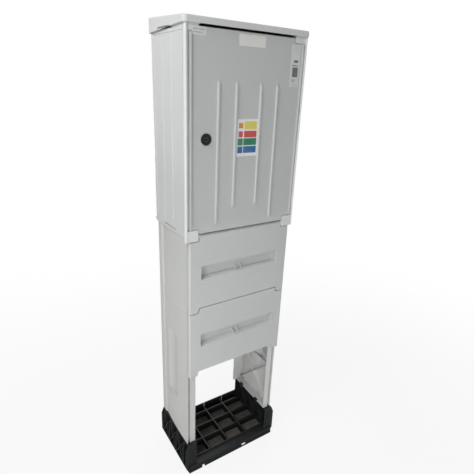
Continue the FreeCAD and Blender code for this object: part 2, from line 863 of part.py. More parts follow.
def door_frame():
    inside = wall_inner - fit_gap
    latch_edge = door_left - latch_gap
    landing_ring = box(-inside, inside, landing_front, landing_rear, rim_top + fit_gap, roof_seat)
    landing_foot = box(-half + bead_width, half - bead_width, landing_front, landing_rear,
                       cabinet_bottom, rim_top + 1)
    opening = box(-landing_half, landing_half, landing_front, landing_rear, landing_bottom, landing_top)
    latch_stile = box(-half + bead_width, latch_edge, front_y + strip_setback, landing_rear,
                      cabinet_bottom, roof_seat)
    latch_side = box(-inside, latch_edge, front_y + bead_depth - 1, landing_rear, rim_top + fit_gap,
                     roof_seat)
    hinge_side = box(inside - hinge_wall, inside, front_y + bead_depth / 2, landing_rear,
                     rim_top + fit_gap, roof_seat)
    blocks = []
    for sign, width in ((-1, bead_width), (1, hinge_bead_width)):
        edges = sorted((sign * block_inner, sign * min(half - width + block_lap, inside)))
        blocks.append(box(edges[0], edges[1], front_y, landing_rear, cabinet_bottom,
                          cabinet_bottom + low_block_height)
                      .cut(box(-half, half, front_y + bead_depth, landing_rear + 1, cabinet_bottom - 1,
                               rim_top + fit_gap)
                           .cut(box(-half + bead_width, half - bead_width, front_y, landing_rear,
                                    cabinet_bottom - 1, rim_top + fit_gap))))
        blocks.append(box(edges[0], edges[1], field_y, landing_rear, roof_seat - high_block_height,
                          roof_seat))
    low_rail = [box(-block_inner, block_inner, field_y, field_y + cover_skin, cabinet_bottom,
                    cabinet_bottom + low_rail_height),
                box(-block_inner, block_inner, field_y, landing_rear,
                    cabinet_bottom + low_rail_height - cover_skin, cabinet_bottom + low_rail_height)]
    pieces = [landing_ring.cut(opening), landing_foot, latch_stile, latch_side, hinge_side,
              bead(-half, -half + bead_width), bead(half - hinge_bead_width, half)]
    frame = join(pieces + blocks + low_rail)
    bore = hinge_pin_radius + fit_gap / 3
    low = cabinet_bottom + low_block_height
    cuts = [disc_z(hinge_x, hinge_y, bore, low - hinge_pin_hold, low + 1),
            disc_z(hinge_x, hinge_y, bore, roof_seat - high_block_height - 1, roof_seat + 1)]
    return frame.cut(cuts)


def door_seal():
    middle = (landing_half + seal_width / 2)
    half_width = middle + seal_width / 2
    z0 = landing_bottom - seal_width
    z1 = landing_top + seal_width
    return frame_ring(half_width, z0, z1, seal_width, door_rear + fit_gap, landing_front)


# Door: raised rim, recessed field with upright ribs, hollow behind, rounded at the hinge

def door_outline(inset):
    n = notch_half - inset
    left = door_left + inset
    right = door_right - inset
    low, high = door_bottom + inset, door_top - inset
    nl, nh = notch_bottom + inset, notch_top - inset
    return [(-n, low), (n, low), (n, nl), (right, nl), (right, nh), (n, nh), (n, high),
            (-n, high), (-n, nh), (left, nh), (left, nl), (-n, nl)]


def corner_round(x, y, radius, sign_x, sign_y):
    # What is taken off a square upright corner to round it about the given centre
    reach = 2 * radius
    x0, x1 = sorted((x, x + sign_x * reach))
    y0, y1 = sorted((y, y + sign_y * reach))
    block = box(x0, x1, y0, y1, cabinet_bottom, roof_seat)
    return block.cut(disc_z(x, y, radius, cabinet_bottom, roof_seat))


def door_rib(x, foot):
    z0 = door_bottom + foot
    z1 = door_top - door_rib_head
    top = field_y - door_rib_height
    side = [(field_y + 1, z0), (field_y, z0), (top, z0 + door_rib_taper), (top, z1 - door_rib_taper),
            (field_y, z1), (field_y + 1, z1)]
    w, c = door_rib_width / 2, door_rib_crown / 2
    plan = [(x - w, field_y + 1), (x - w, field_y), (x - c, top), (x + c, top), (x + w, field_y),
            (x + w, field_y + 1)]
    return prism_x(side, x - w, x + w).common(prism_z(plan, z0, z1))


def guide_places():
    # Middle of each rod guide: two above the lock for the upper rod, two below for the lower
    places = []
    for sign, end in ((1, landing_top), (-1, landing_bottom)):
        for share in guide_shares:
            places.append((lock_x + sign * rod_offset, lock_z + share * (end - lock_z)))
    return places


def door():
    body = prism_y(door_outline(0), front_y, door_rear)
    body = body.cut([corner_round(hinge_x, hinge_y, hinge_set, 1, 1),
                     corner_round(door_right - hinge_round, front_y + hinge_round, hinge_round, 1, -1),
                     corner_round(door_left + latch_round, front_y + latch_round, latch_round, -1, -1)])
    ramp = field_depth / (field_ramp - foot_rim)
    field = [(front_y - 1, door_bottom + foot_rim - 1 / ramp), (field_y, door_bottom + field_ramp),
             (field_y, door_top + 1), (front_y - 1, door_top + 1)]
    body = body.cut(prism_x(field, door_left + door_rim, door_right - hinge_rim))
    hollow = prism_y(door_outline(door_wall), skin_rear, door_rear)
    hollow = hollow.cut(box(hinge_x - hinge_set, door_right, front_y, door_rear, door_bottom, door_top))
    seal_middle = landing_half + seal_width / 2
    ring_half = seal_middle + seal_rib / 2
    ring_gap = (seal_width - seal_rib) / 2
    ring = frame_ring(ring_half, landing_bottom - seal_width + ring_gap, landing_top + seal_width - ring_gap,
                      seal_rib, skin_rear - 1, door_rear)
    pads = [box(x - guide_size, x + guide_size, skin_rear - 1, door_rear, z - guide_size / 2,
                z + guide_size / 2) for x, z in guide_places()]
    braces = [box(door_left + door_wall / 2, hinge_x - hinge_set / 2, skin_rear - 1, door_rear - leg_bar,
                  z - leg_bar / 2, z + leg_bar / 2) for z in (guide_places()[0][1], guide_places()[2][1])]
    ribs = [door_rib(x, foot) for x, foot in zip(door_rib_positions, door_rib_feet)]
    panel = join([body.cut(hollow), ring] + pads + braces + ribs)
    bore = hinge_pin_radius + fit_gap
    depth = hinge_pin_reach + hinge_pin_radius
    cuts = [disc_y(lock_x, lock_z, lock_sleeve_radius + fit_gap, front_y, skin_rear),
            disc_z(hinge_x, hinge_y, bore, notch_bottom, notch_bottom + depth),
            disc_z(hinge_x, hinge_y, bore, notch_top - depth, notch_top)]
    return panel.cut(cuts)


def lower_hinge_pin():
    low = cabinet_bottom + low_block_height
    return disc_z(hinge_x, hinge_y, hinge_pin_radius, low - hinge_pin_hold, notch_bottom + hinge_pin_reach)


def upper_hinge_pin():
    return disc_z(hinge_x, hinge_y, hinge_pin_radius, notch_top - hinge_pin_reach, roof_seat)


def pivot_washer():
    low = cabinet_bottom + low_block_height
    ring = disc_z(hinge_x, hinge_y, pivot_washer_radius, low, notch_bottom)
    return ring.cut(disc_z(hinge_x, hinge_y, hinge_pin_radius + fit_gap, low, notch_bottom))


# Lock: face and sleeve, nut, turning barrel with its cam, and the two rods that the cam drives

def cam_front():
    return rod_front() - 2 * rod_gap - cam_thickness


def rod_front():
    return landing_rear + rod_gap


def lock_body():
    face_y = field_y - lock_face
    rosette = disc_y(lock_x, lock_z, lock_face_radius, face_y, field_y)
    rim = [edge for edge in rosette.Edges if abs(edge.BoundBox.YMax - face_y) < 0.01]
    rosette = rosette.makeChamfer(lock_chamfer, rim)
    sleeve = disc_y(lock_x, lock_z, lock_sleeve_radius, field_y, cam_front() - rod_gap)
    bore = disc_y(lock_x, lock_z, lock_barrel_radius + fit_gap, face_y, cam_front())
    return join([rosette, sleeve]).cut(bore)


def lock_nut():
    nut = hexagon(Vector(lock_x, skin_rear, lock_z), lock_nut_size, lock_nut_height, Vector(0, 1, 0))
    return nut.cut(disc_y(lock_x, lock_z, lock_sleeve_radius + fit_gap / 2, skin_rear,
                          skin_rear + lock_nut_height))


def lock_barrel():
    front = field_y - lock_face + barrel_setback
    s = barrel_square / 2
    k = key_size / 2
    barrel = disc_y(lock_x, lock_z, lock_barrel_radius, front, cam_front())
    shank = box(lock_x - s, lock_x + s, cam_front(), cam_front() + cam_thickness, lock_z - s, lock_z + s)
    key = box(lock_x - k, lock_x + k, front, front + key_depth, lock_z - k, lock_z + k)
    return join([barrel, shank]).cut(key)


def crank_pin_offset():
    return crank_radius * math.sqrt(0.5)


def lock_cam():
    y0 = cam_front()
    y1 = y0 + cam_thickness
    d = crank_pin_offset()
    disc = disc_y(lock_x, lock_z, cam_radius, y0, y1)
    pins = [disc_y(lock_x + s * d, lock_z - s * d, crank_pin_radius, y0, rod_front() + rod_thickness)
            for s in (-1, 1)]
    square = barrel_square / 2 + fit_gap / 3
    hole = box(lock_x - square, lock_x + square, y0, y1, lock_z - square, lock_z + square)
    return join([disc] + pins).cut(hole)


def lock_rod(sign):
    # The upper rod for sign 1 and the lower one for sign -1, drawn back
    middle = lock_x + sign * rod_offset
    y0 = rod_front()
    y1 = y0 + rod_thickness
    near = lock_z - sign * (crank_pin_offset() + rod_end)
    far = landing_top - rod_tip_gap if sign > 0 else landing_bottom + rod_tip_gap
    bar = box(middle - rod_width / 2, middle + rod_width / 2, y0, y1, min(near, far), max(near, far))
    pin_z = lock_z - sign * crank_pin_offset()
    reach = crank_pin_radius + slot_clearance
    x0, x1 = sorted((lock_x + sign * (crank_pin_offset() - reach), lock_x + sign * (crank_radius + reach)))
    slot = box(x0, x1, y0, y1, pin_z - reach, pin_z + reach)
    low, high = sorted((far, far - sign * rod_tip_step))
    tip_half = rod_width / 2 - rod_tip_step / 2
    tips = [box(middle - rod_width / 2, middle - tip_half, y0, y1, low, high),
            box(middle + tip_half, middle + rod_width / 2, y0, y1, low, high)]
    return bar.cut([slot] + tips)


def rod_guides():
    guides = []
    y0, y1 = rod_front(), rod_front() + rod_thickness
    for x, z in guide_places():
        z0, z1 = z - guide_size / 2, z + guide_size / 2
        inner = rod_width / 2 + guide_gap
        outer = inner + guide_wall
        block = box(x - outer, x + outer, door_rear, y1 + guide_wall, z0, z1)
        window = box(x - inner, x + inner, y0 - guide_gap, y1 + guide_gap, z0, z1)
        guides.append(block.cut(window))
    return Part.makeCompound(guides)


# Roof: a hollow hood that rises to the rear, with an inner flange that sits on the walls

def roof_block(inset):
    w = half + roof_overhang - inset
    y0 = front_y - roof_front_overhang + inset
    y1 = rear_y + roof_rear_overhang - inset
    eave = roof_seat + roof_lip
    ridge = eave + roof_face - inset
    outline = [(y0, eave - inset), (y0, ridge), (y1, ridge + roof_rise), (y1, eave - roof_skirt_drop - inset)]
    solid = prism_x(outline, -w, w)
    uprights = [edge for edge in solid.Edges if edge.BoundBox.XLength < 0.01 and edge.BoundBox.YLength < 0.01]
    solid = solid.makeFillet(roof_corner_radius - inset, uprights)
    if inset:
        return solid
    rim = [edge for edge in solid.Edges if edge.BoundBox.ZMin > ridge - 0.01]
    return solid.makeFillet(roof_edge_radius, rim)


def roof_boss_places():
    x = half - roof_boss_inset
    ends = (front_y + roof_boss_front_end, rear_y - roof_boss_rear_end)
    return [(s * x, y) for s in (-1, 1) for y in ends]


def roof_cap():
    inside = roof_block(roof_shell)
    shell = roof_block(0).cut(inside)
    flange_top = roof_seat + roof_flange
    w = half + roof_overhang - roof_shell / 2
    y0 = front_y - roof_front_overhang + roof_shell / 2
    y1 = rear_y + roof_rear_overhang - roof_shell / 2
    plate = box(-w, w, y0, y1, roof_seat, flange_top)
    reach = roof_flange_width + wall
    window = box(-half + reach, half - reach, landing_rear - reach, rear_wall_front - wall, roof_seat,
                 flange_top)
    vent = box(-block_inner, block_inner, y0, landing_rear, roof_seat, flange_top)
    flange = plate.cut([window, vent]).common(roof_block(roof_shell / 2))
    ceiling = roof_block(roof_shell / 2)
    bosses = [disc_z(x, y, roof_boss_radius, roof_seat, roof_seat + roof_face + roof_rise).common(ceiling)
              for x, y in roof_boss_places()]
    cap = join([shell, flange] + bosses)
    cuts = [disc_z(x, y, screw_radius + fit_gap / 2, roof_seat, roof_seat + roof_screw_length)
            for x, y in roof_boss_places()]
    cuts.append(box(-w - wall, w + wall, high_slot_front, high_slot_front + high_slot_length,
                    roof_seat - high_slot_height, roof_seat))
    return cap.cut(cuts)


def roof_brackets():
    brackets = []
    outer = wall_inner - fit_gap
    for x, y in roof_boss_places():
        sign = math.copysign(1, x)
        y0, y1 = y - bracket_width / 2, y + bracket_width / 2
        inner = half - roof_boss_inset - roof_boss_radius
        plate = box(inner, outer, y0, y1, roof_seat - leg_bar, roof_seat)
        upright = box(outer - leg_bar, outer, y0, y1, roof_seat - bracket_drop, roof_seat)
        angle = join([plate, upright]).cut(disc_z(abs(x), y, screw_radius + fit_gap / 2,
                                                  roof_seat - leg_bar, roof_seat))
        brackets.append(angle if sign > 0 else mirrored(angle))
    return Part.makeCompound(brackets)


def roof_screws():
    screws = []
    seat = roof_seat - leg_bar
    for x, y in roof_boss_places():
        head = hexagon(Vector(x, y, seat - screw_head), screw_head_radius, screw_head, Vector(0, 0, 1))
        shank = disc_z(x, y, screw_radius, seat, seat + roof_screw_length)
        screws.append(join([head, shank]))
    return Part.makeCompound(screws)


# Meter plate and cable rail

def plate_screw_places():
    x = plate_width / 2 - plate_margin
    z0 = plate_bottom + plate_margin
    z1 = plate_bottom + plate_height - plate_margin
    return [(sx, z) for sx in (-x, x) for z in (z0, z1)]


def meter_plate():
    w = plate_width / 2
    plate = box(-w, w, plate_front, plate_rear, plate_bottom, plate_bottom + plate_height)
    uprights = [edge for edge in plate.Edges if edge.BoundBox.YLength > plate_thickness - 0.01
                and edge.BoundBox.XLength < 0.01 and edge.BoundBox.ZLength < 0.01]
    plate = plate.makeFillet(plate_corner_radius, uprights)
    cuts = [disc_y(x, z, screw_radius + fit_gap / 2, plate_front, plate_rear)
            for x, z in plate_screw_places()]
    for row in range(plate_slot_rows):
        z = plate_bottom + plate_height * (row + 0.5) / plate_slot_rows
        for column in range(plate_slot_columns):
            x = (column + 0.5 - plate_slot_columns / 2) * plate_width / (plate_slot_columns + 1)
            cuts.append(box(x - plate_slot_width / 2, x + plate_slot_width / 2, plate_front, plate_rear,
                            z - plate_slot_height / 2, z + plate_slot_height / 2))
    return plate.cut(cuts)


def plate_screws():
    return Part.makeCompound([hex_screw(x, z, plate_front, plate_thickness + plate_screw_hold)
                              for x, z in plate_screw_places()])


def cable_rail():
    w = leg_inner - rail_end_gap
    y1 = rail_rear
    y0 = y1 - rail_depth
    z0, z1 = rail_z - rail_height / 2, rail_z + rail_height / 2
    t = rail_sheet
    lip = rail_height / 4
    section = [(y1, z0), (y1, z1), (y0, z1), (y0, z1 - lip), (y0 + t, z1 - lip), (y0 + t, z1 - t),
               (y1 - t, z1 - t), (y1 - t, z0 + t), (y0 + t, z0 + t), (y0 + t, z0 + lip), (y0, z0 + lip),
               (y0, z0)]
    rail = prism_x(section, -w, w)
    holes = both_sides(disc_y(rail_screw_x(), rail_z, screw_radius + fit_gap / 2, y1 - t, y1))
    return rail.cut(holes)


def cable_rail_screws():
    length = rail_sheet + wall - fit_gap
    return Part.makeCompound([hex_screw(s * rail_screw_x(), rail_z, rail_rear - rail_sheet, length)
                              for s in (-1, 1)])


# Labels and stickers, thin plates on the door's field

def on_field(x0, x1, z0, z1, thickness):
    return box(x0, x1, field_y - thickness, field_y, z0, z1)


def instruction_label():
    x0 = door_rib_positions[1] + door_rib_width / 2 + label_gap
    x1 = door_rib_positions[2] - door_rib_width / 2 - label_gap
    z0 = door_bottom + label_share * (door_top - door_bottom)
    return on_field(x0, x1, z0, z0 + label_height, label_thickness)


def name_plate():
    x0 = name_plate_x - name_plate_width / 2
    z0 = door_top - name_plate_drop
    return on_field(x0, x0 + name_plate_width, z0, z0 + name_plate_height, label_thickness)


def corner_sticker():
    x0 = door_left + door_rim + corner_sticker_inset
    return on_field(x0, x0 + corner_sticker_width, door_top - corner_sticker_height, door_top,
                    sticker_thickness)


def strip_label():
    x1 = door_right - hinge_rim - strip_label_inset
    z0 = door_top - strip_label_drop
    return on_field(x1 - strip_label_width, x1, z0, z0 + strip_label_height, sticker_thickness)


def main():
    os.makedirs("parts", exist_ok=True)
    leg = right_leg()
    side = right_side_wall()
    pieces = {
        "base_tray": base_tray(),
        "right_leg": leg,
        "left_leg": mirrored(leg),
        "lower_front_cover": front_cover(0),
        "upper_front_cover": front_cover(1),
        "lower_rear_panel": rear_board(0),
        "upper_rear_panel": rear_board(1),
        "rear_panel_screws": rear_panel_screws(),
        "floor_frame": floor_frame(),
        "leg_bolts": leg_bolts(),
        "leg_nuts": leg_nuts(),
        "right_side_wall": side,
        "left_side_wall": mirrored(side),
        "rear_wall": rear_wall(),
        "door_frame": door_frame(),
        "door_seal": door_seal(),
        "door": door(),
        "lower_hinge_pin": lower_hinge_pin(),
        "upper_hinge_pin": upper_hinge_pin(),
        "pivot_washer": pivot_washer(),
        "lock_body": lock_body(),
        "lock_nut": lock_nut(),
        "lock_barrel": lock_barrel(),
        "lock_cam": lock_cam(),
        "upper_lock_rod": lock_rod(1),
        "lower_lock_rod": lock_rod(-1),
        "rod_guides": rod_guides(),
        "roof_cap": roof_cap(),
        "roof_brackets": roof_brackets(),
        "roof_screws": roof_screws(),
        "meter_plate": meter_plate(),
        "plate_screws": plate_screws(),
        "cable_rail": cable_rail(),
        "cable_rail_screws": cable_rail_screws(),
        "instruction_label": instruction_label(),
        "name_plate": name_plate(),
        "corner_sticker": corner_sticker(),
        "strip_label": strip_label(),
    }
    for name, shape in pieces.items():
        save(name, shape)
        print(name, len(shape.Solids), "solids", round(shape.Volume / 1000), "cm3", shape.isValid())


main()
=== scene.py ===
import math

import bpy
from mathutils import Matrix, Vector


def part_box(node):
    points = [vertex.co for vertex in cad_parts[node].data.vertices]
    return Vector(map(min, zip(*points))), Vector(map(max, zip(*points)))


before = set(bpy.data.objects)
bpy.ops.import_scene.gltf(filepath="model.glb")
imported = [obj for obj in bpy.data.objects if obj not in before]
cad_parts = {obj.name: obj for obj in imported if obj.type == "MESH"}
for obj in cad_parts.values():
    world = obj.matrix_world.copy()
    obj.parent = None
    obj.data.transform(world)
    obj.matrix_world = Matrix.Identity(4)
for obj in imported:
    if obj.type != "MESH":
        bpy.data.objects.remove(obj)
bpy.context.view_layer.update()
print("frame loaded:", len(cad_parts), "nodes")


class Shade:
    # Wraps a node socket, so that shader maths reads as plain sums

    def __init__(self, tree, socket):
        self.tree = tree
        self.socket = socket

    def node(self, kind, settings=None, inputs=None, out=0):
        # The settings come first, because they can change which sockets the node has
        made = self.tree.nodes.new(kind)
        for name, value in (settings or {}).items():
            setattr(made, name, value)
        for name, value in (inputs or {}).items():
            target = made.inputs[name]
            if isinstance(value, Shade):
                self.tree.links.new(value.socket, target)
            else:
                target.default_value = value
        return Shade(self.tree, made.outputs[out])

    def math(self, operation, *values):
        return self.node("ShaderNodeMath", {"operation": operation}, dict(enumerate(values)))

    def __add__(self, other):
        return self.math("ADD", self, other)

    def __radd__(self, other):
        return self.math("ADD", other, self)

    def __sub__(self, other):
        return self.math("SUBTRACT", self, other)

    def __rsub__(self, other):
        return self.math("SUBTRACT", other, self)

    def __mul__(self, other):
        return self.math("MULTIPLY", self, other)

    def __rmul__(self, other):
        return self.math("MULTIPLY", other, self)

    def __truediv__(self, other):
        return self.math("DIVIDE", self, other)

    def __pow__(self, other):
        return self.math("POWER", self, other)

    def __gt__(self, other):
        return self.math("GREATER_THAN", self, other)

    def __lt__(self, other):
        return self.math("LESS_THAN", self, other)

    def clamp(self):
        return self.node("ShaderNodeClamp", None, {"Value": self})

    def rise(self, low, high):
        # 0 below low, 1 above high, and smooth between them
        return self.node("ShaderNodeMapRange", {"interpolation_type": "SMOOTHSTEP"},
                         {"Value": self, "From Min": low, "From Max": high})


def axesOf(vector):
    # The three coordinates of a vector, as numbers to reckon with
    outputs = vector.node("ShaderNodeSeparateXYZ", None, {"Vector": vector}).socket.node.outputs
    return [Shade(vector.tree, outputs[i]) for i in range(3)]


def facing(place):
    # The true normal of the surface, which is the second output of Geometry
    return place.node("ShaderNodeNewGeometry", out=1)


def noiseAt(place, scale, detail, roughness=0.5):
    return place.node("ShaderNodeTexNoise", None,
                      {"Vector": place, "Scale": scale, "Detail": detail, "Roughness": roughness})


def patches(place, scale, detail, start, full, roughness=0.5):
    # Soft patches of noise: none where it is under start, full where it is over full
    return noiseAt(place, scale, detail, roughness).rise(start, full)


def cellsAt(place, scale):
    return place.node("ShaderNodeTexVoronoi", None, {"Vector": place, "Scale": scale})


def stretched(place, scale):
    return place.node("ShaderNodeMapping", None, {"Vector": place, "Scale": scale})


def mixColour(factor, first, second):
    # A colour Mix node takes its two colours in sockets 6 and 7, and gives the mix in output 2
    first, second = [value if isinstance(value, Shade) else (*value, 1) for value in (first, second)]
    return factor.node("ShaderNodeMix", {"data_type": "RGBA"}, {0: factor, 6: first, 7: second}, out=2)


edgeLook = {"samples": 4, "from": 0.01, "to": 0.25}


def edgeMask(place, radius):
    # Where an edge lies within the radius: there the rounded normal departs from the true one
    rounded = place.node("ShaderNodeBevel", {"samples": edgeLook["samples"]}, {"Radius": radius})
    alike = place.node("ShaderNodeVectorMath", {"operation": "DOT_PRODUCT"},
                       {0: rounded, 1: facing(place)}, out=1)
    return (1 - alike).rise(edgeLook["from"], edgeLook["to"]), rounded


def bumped(height, strength, depth, rounded=None):
    inputs = {"Strength": strength, "Distance": depth, "Height": height}
    if rounded is not None:
        inputs["Normal"] = rounded
    return height.node("ShaderNodeBump", None, inputs)


def newMaterial(name, constants):
    # A material with its shader's constants set, and the place from which its patterns start
    material = bpy.data.materials.new(name)
    material.use_nodes = True
    tree = material.node_tree
    for socket, value in constants.items():
        tree.nodes["Principled BSDF"].inputs[socket].default_value = value
    return material, Shade(tree, tree.nodes.new("ShaderNodeTexCoord").outputs["Object"])


def feed(material, links):
    tree = material.node_tree
    for socket, value in links.items():
        tree.links.new(value.socket, tree.nodes["Principled BSDF"].inputs[socket])
    return material


# In the finishes below, a noise is its scale and detail, and a patch has two numbers more: the noise at
# which it starts and is full. Either may end with its roughness. Lengths are in metres.

# Moulded polyester: fine orange peel, faint mottling, dust that gathers low, and paler edges that are partly
# wear and partly a painted highlight.
# With a ledge share, faces that point up are painted paler: painted light from above on the floors of
# recesses.
grpBase = {"tone": (0.60, 0.615, 0.61), "paler": (0.68, 0.69, 0.68), "dust": (0.50, 0.48, 0.44),
           "roughness": 0.42, "coat": 0.12, "coatRoughness": 0.25, "specular": 0.45,
           "mottle": (5.0, 5.0, 0.3, 0.7), "mottleShare": 0.25, "mottleRough": 0.08,
           "fleck": (260.0, 2.0, 0.62, 0.75), "fleckShare": 0.08,
           "streak": (1.0, 3.0, 0.45, 0.75), "streakStretch": (60.0, 60.0, 3.0), "streakDust": 0.06,
           "dustPatch": (18.0, 6.0, 0.35, 0.75), "dustFoot": 0.1, "dustTop": 0.45, "lowDust": 0.5,
           "dustShare": 0.5, "dustRough": 0.2,
           "edgeRadius": 0.0012, "edgeWearAndHighlight": 0.5, "edgeSmooth": 0.05,
           "ledge": 0.0, "ledgeTone": (0.88, 0.89, 0.88), "ledgeFrom": 0.6, "ledgeTo": 0.95,
           "peel": (900.0, 2.0, 0.6), "peelDepth": 0.00006, "peelStrength": 0.35,
           "wave": (14.0, 2.0), "waveShare": 3.0}


def mouldedGrp(name, **changes):
    v = {**grpBase, **changes}
    material, place = newMaterial(name, {"Coat Weight": v["coat"], "Coat Roughness": v["coatRoughness"],
                                         "Specular IOR Level": v["specular"]})
    mottle = patches(place, *v["mottle"])
    fleck = patches(place, *v["fleck"])
    streak = patches(stretched(place, v["streakStretch"]), *v["streak"])
    edge, rounded = edgeMask(place, v["edgeRadius"])
    low = 1 - axesOf(place)[2].rise(v["dustFoot"], v["dustTop"])
    dust = (low * patches(place, *v["dustPatch"]) * v["lowDust"] + streak * v["streakDust"]).clamp()
    colour = mixColour(mottle * v["mottleShare"], v["tone"], v["paler"])
    colour = mixColour(fleck * v["fleckShare"], colour, v["dust"])
    # Paler edges: partly wear, partly a painted highlight along the rims
    colour = mixColour(edge * v["edgeWearAndHighlight"], colour, v["paler"])
    colour = mixColour(dust * v["dustShare"], colour, v["dust"])
    # Painted light: faces that point up are made paler, as if lit from above
    if v["ledge"]:
        upwardLit = axesOf(facing(place))[2].rise(v["ledgeFrom"], v["ledgeTo"])
        colour = mixColour(upwardLit * v["ledge"], colour, v["ledgeTone"])
    roughness = v["roughness"] + mottle * v["mottleRough"] + dust * v["dustRough"] - edge * v["edgeSmooth"]
    skin = noiseAt(place, *v["peel"]) + noiseAt(place, *v["wave"]) * v["waveShare"]
    bump = bumped(skin, v["peelStrength"], v["peelDepth"], rounded)
    return feed(material, {"Base Color": colour, "Roughness": roughness, "Normal": bump})


# Black moulded plastic: half matt, scuffed grey on the edges, with brown soil on its lowest floor
blackBase = {"tone": (0.007, 0.008, 0.009), "scuff": (0.09, 0.09, 0.09), "dust": (0.10, 0.095, 0.085),
             "soil": (0.23, 0.21, 0.175), "roughness": 0.55, "specular": 0.28, "edgeRadius": 0.0012,
             "cloud": (14.0, 6.0, 0.3, 0.75, 0.6), "dusty": 0.04, "dustRough": 0.3,
             "grit": (420.0, 2.0, 0.45, 0.8), "gritDust": 0.08, "upFrom": 0.5, "upTo": 0.95,
             "soilPatch": (45.0, 5.0, 0.25, 0.8, 0.65), "soilTop": 0.006, "soilLeast": 0.55, "soilRough": 0.4,
             "scuffs": (1.0, 4.0, 0.55, 0.75, 0.6), "scuffStretch": (90.0, 20.0, 200.0), "scuffShare": 0.5,
             "scuffRough": 0.1, "grain": (700.0, 2.0), "grainDepth": 0.0001, "grainStrength": 0.3}


def blackMoulding(name, **changes):
    v = {**blackBase, **changes}
    material, place = newMaterial(name, {"Specular IOR Level": v["specular"]})
    edge, rounded = edgeMask(place, v["edgeRadius"])
    up = axesOf(facing(place))[2].rise(v["upFrom"], v["upTo"])
    low = axesOf(place)[2] < v["soilTop"]
    scuffs = patches(stretched(place, v["scuffStretch"]), *v["scuffs"])
    grit = patches(place, *v["grit"])
    dust = (up * patches(place, *v["cloud"]) * v["dusty"] + grit * v["gritDust"]).clamp()
    soil = up * low * (v["soilLeast"] + patches(place, *v["soilPatch"]) * (1 - v["soilLeast"]))
    colour = mixColour(dust, v["tone"], v["dust"])
    colour = mixColour(edge * scuffs * v["scuffShare"], colour, v["scuff"])
    colour = mixColour(soil, colour, v["soil"])
    roughness = v["roughness"] + dust * v["dustRough"] + scuffs * v["scuffRough"] + soil * v["soilRough"]
    bump = bumped(noiseAt(place, *v["grain"]), v["grainStrength"], v["grainDepth"], rounded)
    return feed(material, {"Base Color": colour, "Roughness": roughness, "Normal": bump})


# Zinc plated steel: pale metal with cloudy spangle and fine drawn lines along the grain's smallest number
zincBase = {"tone": (0.56, 0.57, 0.59), "darker": (0.36, 0.37, 0.39), "roughness": 0.32,
            "cloud": (40.0, 4.0, 0.3, 0.7), "cloudShare": 0.6, "cloudRough": 0.15,
            "spangleScale": 90.0, "spangleShare": 0.3, "grain": (20.0, 400.0, 400.0), "lines": (1.0, 2.0),
            "lineRough": 0.1, "lineDepth": 0.00005, "lineStrength": 0.2, "edgeRadius": 0.0004}


def zincPlate(name, **changes):
    v = {**zincBase, **changes}
    material, place = newMaterial(name, {"Metallic": 1.0})
    cloud = patches(place, *v["cloud"])
    spangle = cellsAt(place, v["spangleScale"])
    lines = noiseAt(stretched(place, v["grain"]), *v["lines"])
    rounded = edgeMask(place, v["edgeRadius"])[1]
    shade = (cloud * v["cloudShare"] + spangle * v["spangleShare"]).clamp()
    colour = mixColour(shade, v["tone"], v["darker"])
    roughness = v["roughness"] + cloud * v["cloudRough"] + lines * v["lineRough"]
    bump = bumped(lines, v["lineStrength"], v["lineDepth"], rounded)
    return feed(material, {"Base Color": colour, "Roughness": roughness, "Normal": bump})


# Die cast zinc alloy: darker satin grey with a faint pitted skin and worn edges
castBase = {"tone": (0.06, 0.06, 0.065), "paler": (0.11, 0.11, 0.115), "worn": (0.30, 0.30, 0.31),
            "roughness": 0.38, "cloud": (60.0, 4.0, 0.3, 0.7), "cloudRough": 0.15, "edgeRadius": 0.0004,
            "edgeShare": 0.6, "pits": (1200.0, 3.0), "pitDepth": 0.00008, "pitStrength": 0.4}


def dieCast(name, **changes):
    v = {**castBase, **changes}
    material, place = newMaterial(name, {"Metallic": 0.9})
    cloud = patches(place, *v["cloud"])
    edge, rounded = edgeMask(place, v["edgeRadius"])
    colour = mixColour(cloud, v["tone"], v["paler"])
    colour = mixColour(edge * v["edgeShare"], colour, v["worn"])
    roughness = v["roughness"] + cloud * v["cloudRough"]
    bump = bumped(noiseAt(place, *v["pits"]), v["pitStrength"], v["pitDepth"], rounded)
    return feed(material, {"Base Color": colour, "Roughness": roughness, "Normal": bump})


# Foam rubber: near black with open cells
foamBase = {"tone": (0.012, 0.012, 0.012), "paler": (0.05, 0.05, 0.05), "roughness": 0.75, "specular": 0.25,
            "cellScale": 1500.0, "cellFrom": 0.1, "cellTo": 0.5, "cellDepth": 0.0002, "cellStrength": 0.6,
            "cloud": (80.0, 3.0), "cloudRough": 0.15}


def foamRubber(name, **changes):
    v = {**foamBase, **changes}
    material, place = newMaterial(name, {"Specular IOR Level": v["specular"]})
    cells = cellsAt(place, v["cellScale"])
    colour = mixColour(cells.rise(v["cellFrom"], v["cellTo"]), v["tone"], v["paler"])
    roughness = v["roughness"] + noiseAt(place, *v["cloud"]) * v["cloudRough"]
    bump = bumped(cells, v["cellStrength"], v["cellDepth"])
    return feed(material, {"Base Color": colour, "Roughness": roughness, "Normal": bump})


# Printed film: a pale sheet with plain colour fields, a faint ripple and a slightly soiled rim.
# A field is its left, right, foot and head as shares of the sheet, and its ink.
inks = {"yellow": (0.70, 0.62, 0.13), "amber": (0.62, 0.26, 0.05), "red": (0.56, 0.07, 0.08),
        "green": (0.015, 0.19, 0.09), "blue": (0.02, 0.13, 0.33), "grey": (0.10, 0.105, 0.105),
        "pale": (0.42, 0.43, 0.42)}
filmBase = {"tone": (0.80, 0.81, 0.80), "fields": (), "soil": (0.50, 0.50, 0.48), "roughness": 0.35,
            "coat": 0.3, "coatRoughness": 0.15, "speck": (900.0, 3.0, 0.58, 0.75), "speckLoss": 0.25,
            "speckSoil": 0.05, "ripple": (30.0, 3.0), "rippleFrom": 0.4, "rippleTo": 0.8, "rippleSoil": 0.12,
            "rippleRough": 0.1, "rippleDepth": 0.0003, "rippleStrength": 0.25,
            "edgeRadius": 0.0008, "edgeSoil": 0.25}
